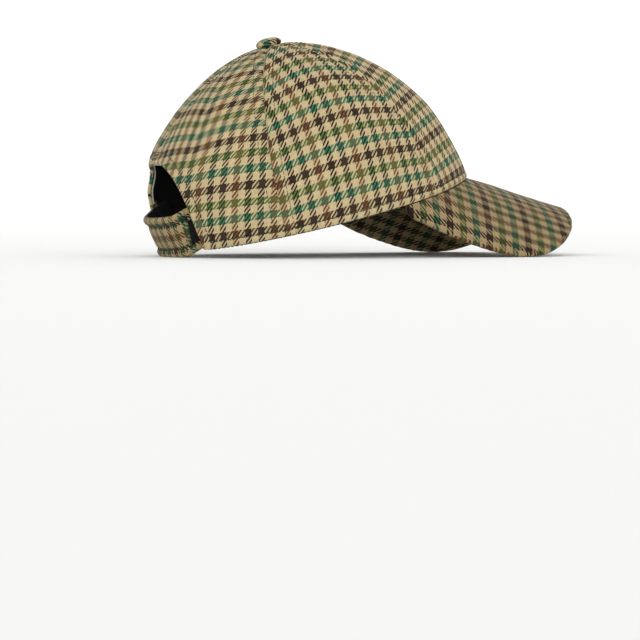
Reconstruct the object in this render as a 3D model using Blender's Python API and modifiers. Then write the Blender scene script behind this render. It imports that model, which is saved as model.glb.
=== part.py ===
# A six-panel tweed cap with a curved peak and a strap across the gap at the back, resting on a floor.
# The cap is drawn level, then one empty tips it back to the way it rests. +X is its front, +Y its wearer's left.
import math

import bmesh
import bpy
from mathutils import Vector

for old in list(bpy.data.objects):
    bpy.data.objects.remove(old, do_unlink=True)

# Crown, in metres. Angles run from the front centre round towards the wearer's left.
crown_half_length = 0.100
crown_half_width = 0.081
crown_height = 0.1055
top_lean = -0.001
rim_dip = 0.0025
cloth_thickness = 0.0020
piece_gap = 0.0003
front_seam_angle = 53.5
back_seam_angle = 115.0
panel_fullness = 0.035
apex_hole_radius = 0.0032
panel_columns = 10
panel_rows = 15

# Each row is a step up the crown: share of its height, then how far out it stands at the front, side and back.
crown_profile = (
    (0.000, 1.000, 1.000, 0.970),
    (0.241, 0.940, 0.958, 0.972),
    (0.482, 0.830, 0.856, 0.908),
    (0.694, 0.652, 0.690, 0.710),
    (0.859, 0.430, 0.474, 0.472),
    (0.964, 0.212, 0.237, 0.237),
    (1.000, 0.000, 0.000, 0.000),
)

# The gap in the two back panels
gap_half_width = 0.041
gap_height = 0.054
gap_width_power = 2.6
gap_height_power = 2.5
binding_width = 0.007
binding_thickness = 0.0012
binding_gap = 0.0006

# Visor
visor_length = 0.068
visor_half_width = 0.097
visor_widest_at = -0.003
visor_slope = 30.5
visor_arch_radius = 0.096
visor_thickness = 0.0036
visor_end_angle = 72.0
visor_side_power = 2.45
visor_front_power = 2.7
visor_front_part = 0.75
visor_blunt_end = 0.975

# Strap
strap_height = 0.026
strap_below_rim = 0.003
strap_half_length = 0.050
strap_stands_out = 0.0030
strap_ends_rise = 0.0040
strap_tucks_in = 0.0005
strap_bend_from = 0.0245
strap_bend_to = 0.0385
strap_lean = 10.0

# Each row is a point round the strap's section: height above its bottom edge, then how far out, in millimetres.
strap_section = (
    (0.0, -1.2),
    (0.5, 0.3),
    (2.6, 1.1),
    (4.7, 0.5),
    (5.6, -0.2),
    (9.5, 0.1),
    (13.5, 0.2),
    (17.0, 0.1),
    (20.4, -0.2),
    (21.3, 0.5),
    (23.4, 1.1),
    (25.5, 0.3),
    (26.0, -1.2),
    (25.3, -2.5),
    (20.5, -2.5),
    (13.0, -2.3),
    (5.5, -2.5),
    (0.7, -2.5),
)

# Button. Each row is radius, then height above its flat underside, in millimetres.
button_section = (
    (0.0, -1.6),
    (2.4, -1.6),
    (2.4, 0.0),
    (7.4, 0.0),
    (7.9, 0.7),
    (7.9, 1.6),
    (7.3, 2.8),
    (5.6, 3.9),
    (3.0, 4.6),
    (0.0, 4.8),
)

# How it rests: tipped back until the strap and both sides of the visor touch the floor
rest_tilt = 13.96
rest_lift = 0.02490
rest_shift = -0.02963

MM = 0.001

collection = bpy.data.collections.new("tweed_cap")
bpy.context.scene.collection.children.link(collection)
cutters = bpy.data.collections.new("cutters")
bpy.context.scene.collection.children.link(cutters)

cap_frame = bpy.data.objects.new("cap_frame", None)
cap_frame.location = (rest_shift, 0.0, rest_lift)
cap_frame.rotation_euler = (0.0, -math.radians(rest_tilt), 0.0)
collection.objects.link(cap_frame)


def material(name, colour, roughness):
    made = bpy.data.materials.new(name)
    made.use_nodes = True
    shader = made.node_tree.nodes["Principled BSDF"]
    shader.inputs["Base Color"].default_value = (*colour, 1.0)
    shader.inputs["Roughness"].default_value = roughness
    return made


def add_mesh(name, points, faces, colour=(0.33, 0.24, 0.12), roughness=0.95):
    """A closed mesh with its normals out, under the tipped frame."""
    mesh = bpy.data.meshes.new(name)
    mesh.from_pydata([tuple(point) for point in points], [], faces)
    work = bmesh.new()
    work.from_mesh(mesh)
    bmesh.ops.recalc_face_normals(work, faces=work.faces)
    work.to_mesh(mesh)
    work.free()
    mesh.materials.append(material(name + "_cloth", colour, roughness))
    made = bpy.data.objects.new(name, mesh)
    made.parent = cap_frame
    collection.objects.link(made)
    return made


def along(column, place, start_sign, end_sign):
    """A smooth curve through one column of the crown's table. The signs say how it carries on past its ends."""
    values = [row[column] for row in crown_profile]
    before = values[1] if start_sign > 0 else 2 * values[0] - values[1]
    after = values[-2] if end_sign > 0 else 2 * values[-1] - values[-2]
    values = [before, *values, after]
    index = min(max(int(place), 0), len(crown_profile) - 2)
    f = place - index
    a, b, c, d = values[index : index + 4]
    return 0.5 * (2 * b + (c - a) * f + (2 * a - 5 * b + 4 * c - d) * f * f + (3 * b - a - 3 * c + d) * f**3)


def share_across_panel(angle):
    """0 at a seam and 1 at the next."""
    turn = abs((angle + 180.0) % 360.0 - 180.0)
    seams = (0.0, front_seam_angle, back_seam_angle, 180.0)
    for low, high in zip(seams, seams[1:]):
        if turn <= high:
            return (turn - low) / (high - low)
    return 0.0


def rim_sink(angle):
    """How far the rim dips below its ends at the front and back."""
    return rim_dip * math.sin(math.radians(angle)) ** 2


def crown_point(angle, rise):
    """The outer cloth at this angle, with rise 0 at the rim and 1 at the top."""
    place = rise * (len(crown_profile) - 1)
    height = along(0, place, -1, 1)
    front = along(1, place, 1, -1)
    side = along(2, place, 1, -1)
    back = along(3, place, 1, -1)
    turn = math.radians(angle)
    end = front if math.cos(turn) > 0 else back
    reach = side + (end - side) * math.cos(turn) ** 2
    swell = panel_fullness * math.sin(math.pi * share_across_panel(angle)) ** 2
    swell *= max(math.sin(math.pi * min(max(rise, 0.0), 1.0)), 0.0) ** 0.7
    return Vector(
        (
            (crown_half_length * math.cos(turn) * reach + top_lean * height) * (1 + swell),
            crown_half_width * math.sin(turn) * reach * (1 + swell),
            crown_height * height * (1 + 0.5 * swell) - rim_sink(angle) * (1 - rise) ** 2,
        )
    )


def crown_normal(angle, rise):
    """Straight out of the cloth."""
    low, high = max(rise - 0.004, 0.0), min(rise + 0.004, 0.999)
    across = crown_point(angle + 0.4, rise) - crown_point(angle - 0.4, rise)
    up = crown_point(angle, high) - crown_point(angle, low)
    return across.cross(up).normalized()


def wall_point(angle, rise, depth):
    """A point this deep in from the outer cloth."""
    return crown_point(angle, rise) - crown_normal(angle, rise) * depth


def grid_solid(name, outer, inner, colour=(0.33, 0.24, 0.12)):
    """A sheet with thickness, from two grids of points of the same size."""
    rows, columns = len(outer), len(outer[0])
    points = [point for row in outer for point in row] + [point for row in inner for point in row]
    back = rows * columns
    faces = []
    for i in range(rows - 1):
        for j in range(columns - 1):
            a, b = i * columns + j, i * columns + j + 1
            c, d = b + columns, a + columns
            faces.append((a, b, c, d))
            faces.append((back + d, back + c, back + b, back + a))
    rim = [j for j in range(columns)]
    rim += [i * columns + columns - 1 for i in range(1, rows)]
    rim += [(rows - 1) * columns + j for j in range(columns - 2, -1, -1)]
    rim += [i * columns for i in range(rows - 2, 0, -1)]
    for a, b in zip(rim, rim[1:] + rim[:1]):
        faces.append((b, a, back + a, back + b))
    return add_mesh(name, points, faces, colour)


def rise_at_radius(radius):
    """How far up the crown is only this far from its middle, at the side."""
    low, high = 0.8, 1.0
    for _ in range(40):
        middle = (low + high) / 2
        if crown_point(90.0, middle).y > radius:
            low = middle
        else:
            high = middle
    return low


def add_panel(name, first_seam, second_seam):
    top = rise_at_radius(apex_hole_radius)
    outer, inner = [], []
    for i in range(panel_rows + 1):
        rise = top * i / panel_rows
        ends = []
        for seam, side in ((first_seam, 1), (second_seam, -1)):
            step = (crown_point(seam + 0.5, rise) - crown_point(seam - 0.5, rise)).length
            ends.append(seam + side * 0.5 * piece_gap / step)
        angles = [ends[0] + (ends[1] - ends[0]) * j / panel_columns for j in range(panel_columns + 1)]
        outer.append([wall_point(angle, rise, 0.0) for angle in angles])
        inner.append([wall_point(angle, rise, cloth_thickness) for angle in angles])
    return grid_solid(name, outer, inner)


def gap_outline(turn, grow=0.0):
    """The edge of the gap as (y, z), with turn 0 at the rim on the left and 180 at the rim on the right."""
    c, s = math.cos(math.radians(turn)), math.sin(math.radians(turn))
    y = math.copysign(abs(c) ** (2 / gap_width_power), c) * (gap_half_width + grow)
    z = abs(s) ** (2 / gap_height_power) * (gap_height + grow)
    return y, z


def back_place(y, z):
    """The angle and rise of the crown's back that stand at this y and z."""
    angle, rise = 180.0, 0.3
    for _ in range(12):
        low, high = 0.0, 0.9
        for _ in range(30):
            middle = (low + high) / 2
            if crown_point(angle, middle).z < z:
                low = middle
            else:
                high = middle
        rise = (low + high) / 2
        reach = crown_point(angle, rise).y / math.sin(math.radians(angle)) if angle != 180.0 else crown_half_width
        angle = 180.0 - math.degrees(math.asin(max(-0.95, min(0.95, y / reach))))
    return angle, rise


seams = (0.0, front_seam_angle, back_seam_angle, 180.0)
panels = {}
for kind, first_seam, second_seam in zip(("front", "side", "back"), seams, seams[1:]):
    panels[kind + "_left"] = add_panel(f"panel_{kind}_left", first_seam, second_seam)
    panels[kind + "_right"] = add_panel(f"panel_{kind}_right", -second_seam, -first_seam)

# The gap at the back is cut out of both back panels by one prism.
steps = 28
outline = [gap_outline(180.0 * i / steps) for i in range(steps + 1)]
outline = [(gap_half_width, -0.02), *outline, (-gap_half_width, -0.02)]
near_x, far_x = -crown_half_length - 0.02, -crown_half_length + 0.05
prism = bpy.data.meshes.new("gap_cutter")
count = len(outline)
prism.from_pydata(
    [(x, y, z) for x in (near_x, far_x) for y, z in outline],
    [],
    [tuple(range(count)), tuple(range(2 * count - 1, count - 1, -1))]
    + [(i, (i + 1) % count, count + (i + 1) % count, count + i) for i in range(count)],
)
work = bmesh.new()
work.from_mesh(prism)
bmesh.ops.recalc_face_normals(work, faces=work.faces)
work.to_mesh(prism)
work.free()
gap_cutter = bpy.data.objects.new("gap_cutter", prism)
gap_cutter.parent = cap_frame
gap_cutter.hide_render = True
gap_cutter.display_type = "WIRE"
cutters.objects.link(gap_cutter)
for kind in ("back_left", "back_right"):
    cut = panels[kind].modifiers.new("gap", "BOOLEAN")
    cut.operation = "DIFFERENCE"
    cut.solver = "EXACT"
    cut.object = gap_cutter

# The tape inside the gap's edge starts just above the strap on each side.
tape_bottom = strap_height - strap_below_rim + strap_ends_rise + 0.001
tape_start = math.degrees(math.asin((tape_bottom / gap_height) ** (gap_height_power / 2)))
tape_steps = 22
tape_rows = []
for depth in (cloth_thickness + binding_gap, cloth_thickness + binding_gap + binding_thickness):
    rows = []
    for i in range(tape_steps + 1):
        turn = tape_start + (180.0 - 2 * tape_start) * i / tape_steps
        row = []
        for grow in (0.0, binding_width / 2, binding_width):
            row.append(wall_point(*back_place(*gap_outline(turn, grow)), depth))
        rows.append(row)
    tape_rows.append(rows)
grid_solid("arch_binding", tape_rows[0], tape_rows[1], (0.62, 0.62, 0.58))


def visor_sheet(across, forward):
    """The visor's top cloth from its flat pattern: distance across, and forward from the crown's front."""
    slope = math.radians(visor_slope)
    turn = across / visor_arch_radius
    drop = visor_arch_radius * (1 - math.cos(turn))
    return Vector(
        (
            crown_half_length + forward * math.cos(slope) - drop * math.sin(slope),
            visor_arch_radius * math.sin(turn),
            -forward * math.sin(slope) - drop * math.cos(slope),
        )
    )


def visor_inner(share):
    """Where the visor's sewn edge lies in its flat pattern, so that it follows the crown's rim."""
    slope, turn = math.radians(visor_slope), math.radians(share * visor_end_angle)
    across = visor_arch_radius * math.asin(crown_half_width * math.sin(turn) / visor_arch_radius)
    drop = visor_arch_radius * (1 - math.cos(across / visor_arch_radius))
    forward = (crown_half_length * (math.cos(turn) - 1) + drop * math.sin(slope)) / math.cos(slope)
    return across, forward


def visor_outer(share):
    """The free edge in the flat pattern: a rounded front, then sides that draw in towards the ends."""
    end_across, end_forward = visor_inner(1.0)
    size = abs(share)
    if size <= visor_front_part:
        turn = math.pi / 2 * size / visor_front_part
        across = visor_half_width * math.sin(turn) ** (2 / visor_side_power)
        forward = visor_widest_at + (visor_length - visor_widest_at) * max(math.cos(turn), 0.0) ** (
            2 / visor_front_power
        )
    else:
        part = (size - visor_front_part) / (1 - visor_front_part)
        across = visor_half_width - (visor_half_width - end_across) * part**2
        forward = visor_widest_at - (visor_widest_at - end_forward) * part
    return math.copysign(across, share), forward


def visor_point(share, out):
    """The visor's top, with out 0 at the rim and 1 at the free edge. Just under the rim it lies level."""
    inner, outer = visor_inner(share), visor_outer(share)
    across = inner[0] + (outer[0] - inner[0]) * out
    forward = inner[1] + (outer[1] - inner[1]) * out
    point = visor_sheet(across, forward)
    rim_height = -rim_sink(share * visor_end_angle)
    point.z += (rim_height - piece_gap - visor_sheet(*inner).z) * (1 - out) ** 2
    return point


def visor_normal(share, out):
    near_out, far_out = max(out - 0.02, 0.0), min(out + 0.02, 1.0)
    near_share, far_share = max(share - 0.01, -visor_blunt_end), min(share + 0.01, visor_blunt_end)
    forward = visor_point(share, far_out) - visor_point(share, near_out)
    across = visor_point(far_share, out) - visor_point(near_share, out)
    return forward.cross(across).normalized()


# The visor's section from the crown outwards: share out, then depth below the top as a share of its thickness.
visor_section = ((0.00, 0.0), (0.12, 0.0), (0.28, 0.0), (0.44, 0.0), (0.60, 0.0), (0.76, 0.0), (0.90, 0.0), (0.975, 0.03))
visor_steps = 36
top_rows, bottom_rows = [], []
for i in range(visor_steps + 1):
    share = visor_blunt_end * (2 * i / visor_steps - 1)
    under_rim = visor_point(share, 0.0)
    turn = math.radians(share * visor_end_angle)
    inward = Vector((math.cos(turn) / crown_half_length, math.sin(turn) / crown_half_width, 0.0)).normalized()
    tucked = under_rim - inward * cloth_thickness
    down = Vector((0.0, 0.0, -visor_thickness))
    top, bottom = [tucked], [tucked + down]
    for out, sunk in visor_section:
        point = visor_point(share, out)
        normal = visor_normal(share, out) if out > 0 else Vector((0.0, 0.0, 1.0))
        thickness = visor_thickness
        top.append(point - normal * thickness * sunk)
        bottom.append(point - normal * thickness * (1 - sunk))
    edge = visor_point(share, 1.0)
    normal = visor_normal(share, 1.0)
    top.append(edge - normal * visor_thickness * 0.28)
    bottom.append(edge - normal * visor_thickness * 0.72)
    top_rows.append(top)
    bottom_rows.append(bottom)
grid_solid("visor", top_rows, bottom_rows)


def rim_at(y):
    """The crown's outer rim at the back at this y, and straight out from it."""
    angle, rise = back_place(y, 0.0)
    point, outward = crown_point(angle, rise), crown_normal(angle, rise)
    point.z = 0.0
    outward.z = 0.0
    return point, outward.normalized()


strap_steps = 26
points, faces = [], []
around = len(strap_section)
for i in range(strap_steps + 1):
    y = strap_half_length * (2 * i / strap_steps - 1)
    base, outward = rim_at(y)
    bend = min(max((abs(y) - strap_bend_from) / (strap_bend_to - strap_bend_from), 0.0), 1.0)
    bend = bend * bend * (3 - 2 * bend)
    stands = strap_stands_out - (strap_stands_out + cloth_thickness + piece_gap + strap_tucks_in) * bend
    bottom = strap_ends_rise * bend - strap_below_rim
    for height, out in strap_section:
        lean = -math.tan(math.radians(strap_lean)) * (strap_height - height * MM)
        points.append(base + outward * (stands + lean + out * MM) + Vector((0.0, 0.0, bottom + height * MM)))
for i in range(strap_steps):
    for j in range(around):
        a, b = i * around + j, i * around + (j + 1) % around
        faces.append((a, b, b + around, a + around))
faces.append(tuple(range(around - 1, -1, -1)))
faces.append(tuple(range(strap_steps * around, (strap_steps + 1) * around)))
strap = add_mesh("strap", points, faces)

# The strap's bottom band is pressed flat where it stands on the floor.
bpy.ops.mesh.primitive_cube_add(size=1.0)
floor_cutter = bpy.context.object
floor_cutter.name = "floor_cutter"
floor_cutter.dimensions = (0.10, 0.16, 0.03)
floor_cutter.location = (rest_shift - crown_half_length, 0.0, -0.015)
for owner in list(floor_cutter.users_collection):
    owner.objects.unlink(floor_cutter)
cutters.objects.link(floor_cutter)
floor_cutter.hide_render = True
floor_cutter.display_type = "WIRE"
flat = strap.modifiers.new("floor", "BOOLEAN")
flat.operation = "DIFFERENCE"
flat.solver = "EXACT"
flat.object = floor_cutter

# The button is turned on its own axis, with a short shank in the hole where the panels meet.
profile = bpy.data.meshes.new("button")
profile.from_pydata(
    [(radius * MM, 0.0, height * MM) for radius, height in button_section],
    [(i, i + 1) for i in range(len(button_section) - 1)],
    [],
)
profile.materials.append(material("button_cloth", (0.20, 0.24, 0.12), 0.95))
button = bpy.data.objects.new("button", profile)
button.parent = cap_frame
button.location = (top_lean, 0.0, crown_height + piece_gap)
collection.objects.link(button)
turned = button.modifiers.new("turn", "SCREW")
turned.steps = 32
turned.render_steps = 32
turned.use_merge_vertices = True
turned.merge_threshold = 0.00001
turned.use_normal_calculate = True
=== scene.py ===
import math

import bpy
import numpy as np
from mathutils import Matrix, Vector


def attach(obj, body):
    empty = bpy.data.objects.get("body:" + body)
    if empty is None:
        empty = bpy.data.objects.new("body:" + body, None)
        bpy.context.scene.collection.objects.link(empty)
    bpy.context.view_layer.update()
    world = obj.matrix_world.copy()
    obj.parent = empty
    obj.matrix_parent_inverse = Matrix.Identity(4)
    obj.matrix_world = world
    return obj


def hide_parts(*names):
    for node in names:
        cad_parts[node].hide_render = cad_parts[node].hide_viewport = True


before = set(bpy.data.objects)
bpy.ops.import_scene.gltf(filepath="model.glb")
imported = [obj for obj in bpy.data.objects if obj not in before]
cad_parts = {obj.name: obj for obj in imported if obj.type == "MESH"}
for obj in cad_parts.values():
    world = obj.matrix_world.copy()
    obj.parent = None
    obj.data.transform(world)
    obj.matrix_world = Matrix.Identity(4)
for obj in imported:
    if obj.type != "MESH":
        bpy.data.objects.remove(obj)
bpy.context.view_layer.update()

# Crown, in metres. Angles run from the front centre round towards the wearer's left.
crown_half_length = 0.100
crown_half_width = 0.081
crown_height = 0.1055
top_lean = -0.001
rim_dip = 0.0025
cloth_thickness = 0.0020
front_seam_angle = 53.5
back_seam_angle = 115.0
panel_fullness = 0.035

# Each row is a step up the crown: share of its height, then how far out the front, side and back stand.
crown_profile = np.array(
    (
        (0.000, 1.000, 1.000, 0.970),
        (0.241, 0.940, 0.958, 0.972),
        (0.482, 0.830, 0.856, 0.908),
        (0.694, 0.652, 0.690, 0.710),
        (0.859, 0.430, 0.474, 0.472),
        (0.964, 0.212, 0.237, 0.237),
        (1.000, 0.000, 0.000, 0.000),
    )
)

# The gap in the two back panels, and the tape inside its edge
gap_half_width = 0.041
gap_height = 0.054
gap_width_power = 2.6
gap_height_power = 2.5
gap_hem = 0.0058
binding_thickness = 0.0009
binding_gap = 0.0005

# The dent in the left back panel beside the gap: how far to the left and how wide, how high up and how tall,
# and how deep
dent_side = 0.024
dent_width = 0.013
dent_height = 0.0450
dent_tall = 0.0090
dent_depth = 0.0042

# Visor
visor_length = 0.068
visor_half_width = 0.097
visor_widest_at = -0.003
visor_slope = 30.5
visor_arch_radius = 0.096
visor_thickness = 0.0036
visor_end_angle = 72.0
visor_side_power = 2.45
visor_front_power = 2.7
visor_front_part = 0.75
visor_blunt_end = 0.975
check_height_visor = 0.0088

# Strap
strap_height = 0.026
strap_below_rim = 0.003
strap_half_length = 0.050
strap_stands_out = 0.0030
strap_ends_rise = 0.0040
strap_tucks_in = 0.0005
strap_bend_from = 0.0245
strap_bend_to = 0.0385
strap_lean = 10.0

# The strap's sewn ends, as the cloth shows them: how far along each end lies at these heights
strap_end_heights = (0.0, 0.0026, 0.0130, 0.0170, 0.0234, 0.0260)
strap_end_places = (0.0296, 0.0299, 0.0321, 0.0326, 0.0334, 0.0336)
strap_end_stitch = 0.0016
strap_tail_depth = 0.0012
strap_overlap = 0.0015
strap_valleys = (0.0056, 0.0204)
strap_check = 0.0085
strap_band_at = 0.0055
strap_stripe_at = 0.0146
strap_end_squeeze = 0.35

# Each row is a point of the strap's section, in millimetres: height above its bottom edge, then how far out.
strap_section = np.array(
    (
        (0.0, -1.2),
        (0.5, 0.3),
        (2.6, 1.1),
        (4.7, 0.5),
        (5.6, -0.2),
        (9.5, 0.1),
        (13.5, 0.2),
        (17.0, 0.1),
        (20.4, -0.2),
        (21.3, 0.5),
        (23.4, 1.1),
        (25.5, 0.3),
        (26.0, -1.2),
        (25.3, -2.5),
        (20.5, -2.5),
        (13.0, -2.3),
        (5.5, -2.5),
        (0.7, -2.5),
    )
)

# Each row is a point of the button's section, in millimetres: radius, then height above the crown's top.
button_section = np.array(
    (
        (0.0, 4.85),
        (1.6, 4.80),
        (3.2, 4.62),
        (4.8, 4.22),
        (6.1, 3.62),
        (7.0, 2.95),
        (7.6, 2.15),
        (7.85, 1.35),
        (7.7, 0.60),
        (7.2, 0.12),
        (6.4, 0.0),
        (2.4, 0.0),
        (2.4, -1.6),
        (0.0, -1.6),
    )
)

# The button's pleats: how many, then how deep, how high up and how tall. Last, its middle's place in the cloth.
button_pleats = 14
button_pleat = (0.00010, 0.0009, 0.0008)
button_cloth_at = (2.20, 0.85)

# How it rests
rest_tilt = 13.96
rest_lift = 0.02490
rest_shift = -0.02963

# Sewing, in metres: how far each stitched line lies from its edge or seam
rim_hem = 0.0046
seam_allowance = 0.0060
stitch_pitch = 0.0029
stitch_length = 0.0024
stitch_radius = 0.00028
seam_stitch_radius = 0.00019
thread_sunk = 0.00030

# Lines pressed into the cloth: how deep, how far from the seam or edge, and how wide
seam_valley = (0.00075, 0.0, 0.0009)
seam_line = (0.00024, seam_allowance, 0.0007)
rim_line = (0.00060, rim_hem, 0.0006)
gap_line = (0.00030, gap_hem, 0.0007)
visor_line = (0.00038, 0.0030, 0.0006)
strap_end_line = (0.00035, strap_end_stitch, 0.0006)
strap_valley_depth = 0.00045
strap_valley_width = 0.0008

# Ridges where cloth is folded or padded: how high, how far from the seam or edge, and how wide
seam_ridge = (0.00022, 0.0031, 0.0019)
rim_ridge = (0.00035, 0.0024, 0.0014)
gap_ridge = (0.00042, 0.0026, 0.0022)
visor_ridge = (0.00018, 0.0016, 0.0008)
pucker_height = 0.00012

# Radii of the folds
rim_fold = 0.0011
rim_inner_fold = 0.0006
strap_end_fold = 0.0009

# Cloth: one check is a coloured stripe and a cream one, of six threads each. The middle of the coloured
# stripe lies a quarter of the way across the check.
threads_in_check = 12.0
stripe_middle = 0.25
check_width = 0.00815
check_height = 0.00935
first_band_height = 0.0074

# How high up the checks start to narrow, and where they are at their narrowest
narrowing = (0.040, 0.075)

# How the stripes run on each kind of panel: where a rust stripe crosses the panel's middle, how high up that
# is, how far the stripes lean to the right as they rise, how high up they stop leaning, the width of a check
# low down and high up, and how much the bands bow.
stripe_rules = {
    "front": (-0.0055, 0.0150, 0.0, 0.0800, 0.00780, 0.00780, 0.0),
    "side": (0.0006, 0.0370, 0.118, 0.0800, 0.00815, 0.00815, 0.0),
    "back": (0.0006, 0.0153, 0.190, 0.0600, 0.00775, 0.00660, 26.0),
}

# Colours, as a screen shows them
cream = (224, 202, 157)
rust = (128, 80, 46)
dark_brown = (49, 29, 21)
grey_brown = (67, 49, 38)
weft_brown = (66, 54, 40)
teal = (46, 132, 98)
green = (90, 126, 62)
thread_green = (24, 62, 48)
lining = (20, 19, 19)
pale_edge_grey = (186, 184, 176)

# The visor's and the strap's cloth carry painted shade: the crown's cloth, made darker and warmer as though
# less lit.
crown_brightness = (0.635, 0.63, 0.615)
visor_painted_shade = (0.395, 0.360, 0.320)
strap_painted_shade = (0.445, 0.405, 0.36)

MM = 0.001
piece_gap = 0.0003


def linear(colour):
    """A screen colour as the shader's linear values."""
    return tuple(((c / 255 + 0.055) / 1.055) ** 2.4 if c > 10 else c / 255 / 12.92 for c in colour)


def wrapped(angle):
    """The same angle from -180 to 180."""
    return (angle + 180.0) % 360.0 - 180.0


def unit(vectors):
    return vectors / np.maximum(np.linalg.norm(vectors, axis=-1, keepdims=True), 1e-12)


def run_along(line):
    """How far each point of a line is from its start."""
    return np.concatenate([[0.0], np.cumsum(np.linalg.norm(np.diff(line, axis=0), axis=1))])


def soft_step(value, low, high):
    t = np.clip((value - low) / (high - low), 0.0, 1.0)
    return t * t * (3 - 2 * t)


def pressed(distance, depth, place, width):
    """A soft valley or ridge along the line at this place."""
    return depth * np.exp(-(((distance - place) / width) ** 2))


def rounded(distance, radius):
    """How far a rounded edge falls away at this distance from it."""
    return radius - np.sqrt(np.maximum(radius**2 - np.maximum(radius - distance, 0.0) ** 2, 0.0))


def smooth_between(a, b, c, d, f):
    """A smooth curve from b to c, with a before them, d after them and f the share of the way."""
    return 0.5 * (2 * b + (c - a) * f + (2 * a - 5 * b + 4 * c - d) * f * f + (3 * b - a - 3 * c + d) * f**3)


# The crown's surface
def along(column, place, start_sign, end_sign):
    """A smooth curve through one column of the crown's table."""
    values = crown_profile[:, column]
    before = values[1] if start_sign > 0 else 2 * values[0] - values[1]
    after = values[-2] if end_sign > 0 else 2 * values[-1] - values[-2]
    values = np.concatenate([[before], values, [after]])
    index = np.clip(place.astype(int), 0, len(crown_profile) - 2)
    f = place - index
    return smooth_between(*(values[index + step] for step in range(4)), f)


def share_across_panel(angle):
    """0 at a seam and 1 at the next."""
    turn = np.abs(wrapped(angle))
    share = turn / front_seam_angle
    middle = (turn - front_seam_angle) / (back_seam_angle - front_seam_angle)
    back = (turn - back_seam_angle) / (180.0 - back_seam_angle)
    share = np.where(turn > front_seam_angle, middle, share)
    return np.where(turn > back_seam_angle, back, share)


def crown_point(angle, rise):
    """The outer cloth at this angle, with rise 0 at the rim and 1 at the top: the CAD's, but for the dent."""
    angle, rise = np.broadcast_arrays(np.asarray(angle, float), np.asarray(rise, float))
    place = rise * (len(crown_profile) - 1)
    height = along(0, place, -1, 1)
    front = along(1, place, 1, -1)
    side = along(2, place, 1, -1)
    back = along(3, place, 1, -1)
    turn = np.radians(angle)
    c, s = np.cos(turn), np.sin(turn)
    reach = side + (np.where(c > 0, front, back) - side) * c**2
    swell = panel_fullness * np.sin(np.pi * share_across_panel(angle)) ** 2
    swell = swell * np.maximum(np.sin(np.pi * np.clip(rise, 0, 1)), 0) ** 0.7
    x = (crown_half_length * c * reach + top_lean * height) * (1 + swell)
    y = crown_half_width * s * reach * (1 + swell)
    z = crown_height * height * (1 + 0.5 * swell) - rim_dip * s**2 * (1 - rise) ** 2
    # The left back panel is drawn in beside the gap.
    near_dent = np.exp(-(((y - dent_side) / dent_width) ** 2) - ((z - dent_height) / dent_tall) ** 2)
    x = x + np.where(c < 0, dent_depth * near_dent, 0.0)
    return np.stack([x, y, z], -1)


def crown_normal(angle, rise):
    """The way out of the crown's cloth."""
    low, high = np.maximum(rise - 0.004, 0.0), np.minimum(rise + 0.004, 0.999)
    across = crown_point(angle + 0.4, rise) - crown_point(angle - 0.4, rise)
    up = crown_point(angle, high) - crown_point(angle, low)
    return unit(np.cross(across, up))


def rest(points):
    """From the level cap to the way it rests."""
    cosine, sine = math.cos(math.radians(rest_tilt)), math.sin(math.radians(rest_tilt))
    x, y, z = points[..., 0], points[..., 1], points[..., 2]
    return np.stack([x * cosine - z * sine + rest_shift, y, x * sine + z * cosine + rest_lift], -1)


def gap_outline(turn, grow=0.0):
    """The edge of the gap as (y, z), with turn 0 at the rim on the left and 180 at the rim on the right."""
    c, s = np.cos(np.radians(turn)), np.sin(np.radians(turn))
    y = np.sign(c) * np.abs(c) ** (2 / gap_width_power) * (gap_half_width + grow)
    z = np.abs(s) ** (2 / gap_height_power) * (gap_height + grow)
    return y, z


def back_place(y, z):
    """The angle and rise of the crown's back that stand at this y and z."""
    angle = np.full(np.shape(y), 180.0)
    rise = np.zeros(np.shape(y))
    for _ in range(12):
        low, high = np.zeros(np.shape(y)), np.full(np.shape(y), 0.9)
        for _ in range(30):
            middle = (low + high) / 2
            under = crown_point(angle, middle)[..., 2] < z
            low, high = np.where(under, middle, low), np.where(under, high, middle)
        rise = (low + high) / 2
        reach = crown_point(90.0, rise)[..., 1]
        sine = np.sin(np.radians(angle))
        here = crown_point(angle, rise)[..., 1]
        reach = np.where(np.abs(sine) > 1e-4, here / np.where(np.abs(sine) > 1e-4, sine, 1.0), reach)
        angle = 180.0 - np.degrees(np.arcsin(np.clip(y / reach, -0.95, 0.95)))
    return angle, rise


# Points along the gap's edge, for telling how far the cloth is from it
edge_turns = np.linspace(0.0, 180.0, 361)
edge_y, edge_z = gap_outline(edge_turns)
edge_points = crown_point(*back_place(edge_y, edge_z))


def from_gap(angle, rise):
    """Distance from the edge of the gap, negative inside it."""
    turn = np.abs(wrapped(angle))
    points = crown_point(angle, rise)
    distance = np.full(turn.shape, 0.05)
    near = turn > 118.0
    if near.any():
        chosen = points[near]
        best = np.full(len(chosen), 1.0)
        for place in edge_points:
            best = np.minimum(best, np.linalg.norm(chosen - place, axis=-1))
        y, z = chosen[:, 1], np.maximum(chosen[:, 2], 0.0)
        inside = (np.abs(y) / gap_half_width) ** gap_width_power + (z / gap_height) ** gap_height_power < 1.0
        inside |= (np.abs(y) < gap_half_width) & (chosen[:, 2] < 0.0005)
        distance[near] = np.where(inside, -best, best)
    return distance


def width_of_a_degree(angle, rise):
    span = crown_point(angle + 0.25, rise) - crown_point(angle - 0.25, rise)
    return np.linalg.norm(span, axis=-1) / 0.5


def from_seam(angle, rise):
    """Distance along the cloth to the nearest seam."""
    turn = np.abs(wrapped(angle))
    nearest = np.minimum(turn, 180.0 - turn)
    nearest = np.minimum(nearest, np.abs(turn - front_seam_angle))
    nearest = np.minimum(nearest, np.abs(turn - back_seam_angle))
    return nearest * width_of_a_degree(angle, rise)


def from_rim(angle, rise):
    """Height above the rim along the cloth, good near the rim."""
    return np.linalg.norm(crown_point(angle, rise) - crown_point(angle, 0.0), axis=-1)


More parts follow.
